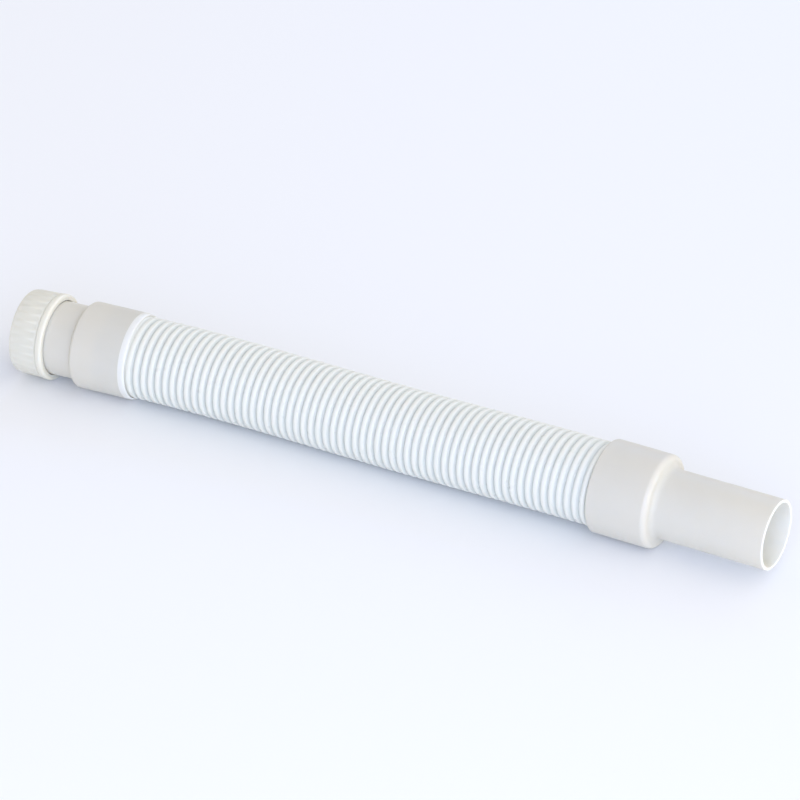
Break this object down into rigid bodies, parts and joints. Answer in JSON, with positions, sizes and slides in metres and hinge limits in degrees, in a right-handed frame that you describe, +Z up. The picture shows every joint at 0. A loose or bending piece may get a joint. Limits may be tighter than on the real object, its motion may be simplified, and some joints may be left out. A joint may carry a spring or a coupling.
{
  "type": "flexible sink trap",
  "caption": "White corrugated flexible sink waste hose, lying straight, with a union nut on a flanged tailpiece at the inlet and a smooth push-in spigot at the outlet.",
  "frame": {"origin": "middle of the bounding box's underside, on the surface that the part lies on", "axes": "+X from the union nut towards the spigot, along the inlet end; +Z up; the outlet end turns a few degrees towards -Y"},
  "size_m": [0.4766, 0.0742, 0.0537],
  "materials": {
    "fitting_plastic": "white moulded plastic, satin gloss",
    "hose_plastic": "cooler white moulded plastic, satin gloss",
    "washer_rubber": "plain black rubber"
  },
  "bodies": {
    "hose_assembly": {"sealing_washer": "washer_rubber", "flanged_tailpiece": "fitting_plastic", "inlet_cuff": "fitting_plastic", "corrugated_hose": "hose_plastic", "outlet_spigot": "fitting_plastic"},
    "union_nut": {"coupling_nut": "fitting_plastic"}
  },
  "joints": [
    {"name": "nut_spin", "type": "hinge", "parent": "hose_assembly", "child": "union_nut", "pos_m": [-0.22756, 0.01147, 0.02568], "axis": [1, 0, 0], "continuous": true}
  ]
}
